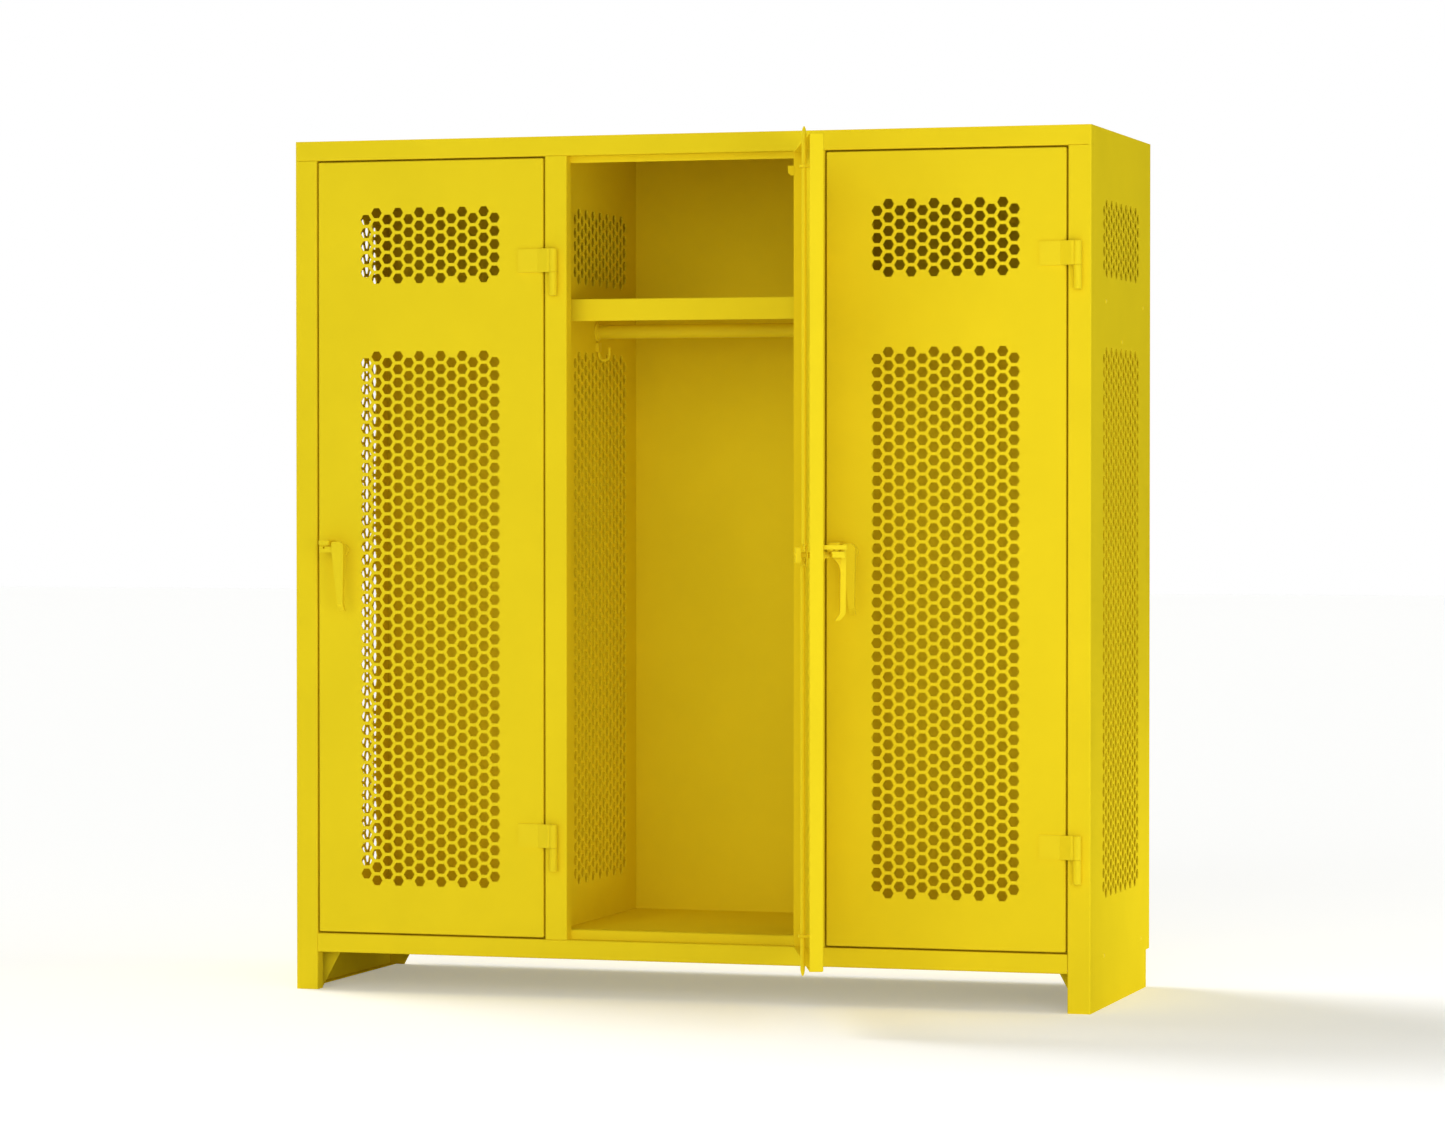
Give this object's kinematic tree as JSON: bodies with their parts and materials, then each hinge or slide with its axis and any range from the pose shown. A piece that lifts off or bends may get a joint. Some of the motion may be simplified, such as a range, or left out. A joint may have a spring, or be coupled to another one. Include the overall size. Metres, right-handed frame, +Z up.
{
  "type": "ventilated single-tier locker",
  "caption": "Welded steel locker unit with perforated single-tier doors, strap hinges, padlock levers that work vertical latch rods, a shelf, coat rod and hook in each compartment.",
  "frame": {"origin": "on the floor, in the middle of the bounding box with the middle door open", "axes": "+Z up, +Y from the doors to the back panel, +X along the front from the left compartment to the right one"},
  "size_m": [1.825, 1.1762, 1.905],
  "materials": {
    "sheet_paint": "smooth yellow powder coat, low gloss",
    "hardware_paint": "smooth yellow powder coat, low gloss"
  },
  "bodies": {
    "cabinet": {"side_panel_left": "sheet_paint", "side_panel_right": "sheet_paint", "partition_left": "sheet_paint", "partition_right": "sheet_paint", "back_panel": "sheet_paint", "top_panel": "sheet_paint", "floor_panel": "sheet_paint", "top_rail": "sheet_paint", "bottom_rail": "sheet_paint", "stile_left": "sheet_paint", "stile_mid_left": "sheet_paint", "stile_mid_right": "sheet_paint", "stile_right": "sheet_paint", "leg_brace_left": "sheet_paint", "leg_brace_right": "sheet_paint", "shelf_left": "sheet_paint", "coat_rod_left": "hardware_paint", "coat_hook_left": "hardware_paint", "hinge_pin_left_upper": "hardware_paint", "hinge_pin_left_lower": "hardware_paint", "shelf_middle": "sheet_paint", "coat_rod_middle": "hardware_paint", "coat_hook_middle": "hardware_paint", "hinge_pin_middle_upper": "hardware_paint", "hinge_pin_middle_lower": "hardware_paint", "shelf_right": "sheet_paint", "coat_rod_right": "hardware_paint", "coat_hook_right": "hardware_paint", "hinge_pin_right_upper": "hardware_paint", "hinge_pin_right_lower": "hardware_paint"},
    "left_door": {"door_left": "sheet_paint", "hinge_leaf_left_upper": "hardware_paint", "hinge_leaf_left_lower": "hardware_paint", "hasp_left": "hardware_paint", "rod_guide_left_upper": "hardware_paint", "rod_guide_left_lower": "hardware_paint"},
    "left_latch": {"lever_left": "hardware_paint", "cam_left": "hardware_paint"},
    "left_upper_rod": {"latch_rod_left_upper": "hardware_paint"},
    "left_lower_rod": {"latch_rod_left_lower": "hardware_paint"},
    "middle_door": {"door_middle": "sheet_paint", "hinge_leaf_middle_upper": "hardware_paint", "hinge_leaf_middle_lower": "hardware_paint", "hasp_middle": "hardware_paint", "rod_guide_middle_upper": "hardware_paint", "rod_guide_middle_lower": "hardware_paint"},
    "middle_latch": {"lever_middle": "hardware_paint", "cam_middle": "hardware_paint"},
    "middle_upper_rod": {"latch_rod_middle_upper": "hardware_paint"},
    "middle_lower_rod": {"latch_rod_middle_lower": "hardware_paint"},
    "right_door": {"door_right": "sheet_paint", "hinge_leaf_right_upper": "hardware_paint", "hinge_leaf_right_lower": "hardware_paint", "hasp_right": "hardware_paint", "rod_guide_right_upper": "hardware_paint", "rod_guide_right_lower": "hardware_paint"},
    "right_latch": {"lever_right": "hardware_paint", "cam_right": "hardware_paint"},
    "right_upper_rod": {"latch_rod_right_upper": "hardware_paint"},
    "right_lower_rod": {"latch_rod_right_lower": "hardware_paint"}
  },
  "joints": [
    {"name": "left_door_hinge", "type": "hinge", "parent": "cabinet", "child": "left_door", "pos_m": [-0.2976, -0.04483, 0.99425], "axis": [0, 0, 1], "range_deg": [0, 120]},
    {"name": "middle_door_hinge", "type": "hinge", "parent": "cabinet", "child": "middle_door", "pos_m": [0.2938, -0.04483, 0.99425], "axis": [0, 0, 1], "range_deg": [-109.5, 10.5]},
    {"name": "right_door_hinge", "type": "hinge", "parent": "cabinet", "child": "right_door", "pos_m": [0.8852, -0.04483, 0.99425], "axis": [0, 0, 1], "range_deg": [0, 120]},
    {"name": "left_lever_turn", "type": "hinge", "parent": "left_door", "child": "left_latch", "pos_m": [-0.7977, -0.03383, 0.989], "axis": [0, -1, 0], "range_deg": [0, 90]},
    {"name": "middle_lever_turn", "type": "hinge", "parent": "middle_door", "child": "middle_latch", "pos_m": [0.45037, -0.51992, 0.989], "axis": [0.9426, 0.3338, 0], "range_deg": [0, 90]},
    {"name": "right_lever_turn", "type": "hinge", "parent": "right_door", "child": "right_latch", "pos_m": [0.3851, -0.03383, 0.989], "axis": [0, -1, 0], "range_deg": [0, 90]},
    {"name": "left_upper_rod_slide", "type": "slide", "parent": "left_door", "child": "left_upper_rod", "axis": [0, 0, -1], "range_m": [0, 0.0301]},
    {"name": "left_lower_rod_slide", "type": "slide", "parent": "left_door", "child": "left_lower_rod", "axis": [0, 0, 1], "range_m": [0, 0.0301]},
    {"name": "middle_upper_rod_slide", "type": "slide", "parent": "middle_door", "child": "middle_upper_rod", "axis": [0, 0, -1], "range_m": [0, 0.0301]},
    {"name": "middle_lower_rod_slide", "type": "slide", "parent": "middle_door", "child": "middle_lower_rod", "axis": [0, 0, 1], "range_m": [0, 0.0301]},
    {"name": "right_upper_rod_slide", "type": "slide", "parent": "right_door", "child": "right_upper_rod", "axis": [0, 0, -1], "range_m": [0, 0.0301]},
    {"name": "right_lower_rod_slide", "type": "slide", "parent": "right_door", "child": "right_lower_rod", "axis": [0, 0, 1], "range_m": [0, 0.0301]}
  ],
  "couplings": [
    {"joint": "left_upper_rod_slide", "follows": "left_lever_turn", "m_per_rad": 0.019099},
    {"joint": "left_lower_rod_slide", "follows": "left_lever_turn", "m_per_rad": 0.019099},
    {"joint": "middle_upper_rod_slide", "follows": "middle_lever_turn", "m_per_rad": 0.019099},
    {"joint": "middle_lower_rod_slide", "follows": "middle_lever_turn", "m_per_rad": 0.019099},
    {"joint": "right_upper_rod_slide", "follows": "right_lever_turn", "m_per_rad": 0.019099},
    {"joint": "right_lower_rod_slide", "follows": "right_lever_turn", "m_per_rad": 0.019099}
  ]
}
